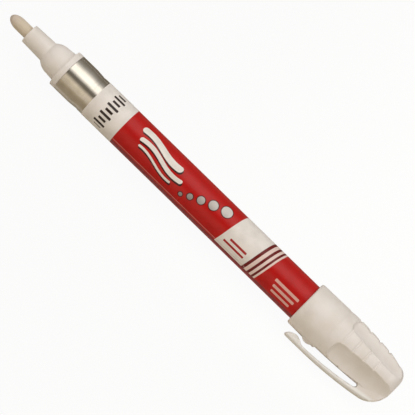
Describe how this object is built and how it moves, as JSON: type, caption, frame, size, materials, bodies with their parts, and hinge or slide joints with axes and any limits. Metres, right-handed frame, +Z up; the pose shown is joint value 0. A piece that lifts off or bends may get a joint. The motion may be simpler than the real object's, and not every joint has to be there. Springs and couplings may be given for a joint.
{
  "type": "paint marker",
  "caption": "Valve-action paint marker: bullet nib in a stepped nose, aluminium tube with a printed film, and a snap cap with a moulded clip, posted on the rear.",
  "frame": {"origin": "on the marker's axis, at the front rim of the barrel tube, in the middle of the wall that the cap closes on", "axes": "+X along the marker's axis to the rear, -X is the way the cap leaves the nose, +Z up with the marker lying on its side on the cap and its clip"},
  "size_m": [0.176, 0.0202, 0.0176],
  "materials": {
    "bare_aluminium": "bright drawn",
    "printed_film": "gloss print, red and white",
    "white_plastic": "satin moulded",
    "nib_fibre": "pressed fibre",
    "seal_rubber": "matt",
    "valve_plastic": "natural moulded",
    "spring_steel": "drawn wire",
    "ball_steel": "polished",
    "liner_plastic": "soft natural moulded"
  },
  "bodies": {
    "barrel": {"barrel_tube": "bare_aluminium", "label_film": "printed_film", "nose_section": "white_plastic", "barrel_seal": "seal_rubber", "valve_housing": "valve_plastic", "valve_spring": "spring_steel", "spring_retainer": "valve_plastic"},
    "nib": {"nib": "nib_fibre"},
    "valve": {"valve_stem": "valve_plastic", "valve_seal": "seal_rubber"},
    "ball": {"mixing_ball": "ball_steel"},
    "cap": {"cap_shell": "white_plastic", "inner_cap": "liner_plastic"}
  },
  "joints": [
    {"name": "cap_pull", "type": "slide", "parent": "barrel", "child": "cap", "axis": [1, 0, 0], "range_m": [0, 0.03]},
    {"name": "nib_press", "type": "slide", "parent": "barrel", "child": "nib", "axis": [1, 0, 0], "range_m": [0, 0.0018], "stiffness_N_per_m": 800, "springref_m": -0.00125, "deforming": ["valve_spring"]},
    {"name": "valve_lift", "type": "slide", "parent": "barrel", "child": "valve", "axis": [1, 0, 0], "range_m": [0, 0.0018]},
    {"name": "ball_roll", "type": "slide", "parent": "barrel", "child": "ball", "axis": [1, 0, 0], "range_m": [0, 0.086]}
  ],
  "couplings": [
    {"joint": "valve_lift", "follows": "nib_press", "ratio": 1}
  ]
}
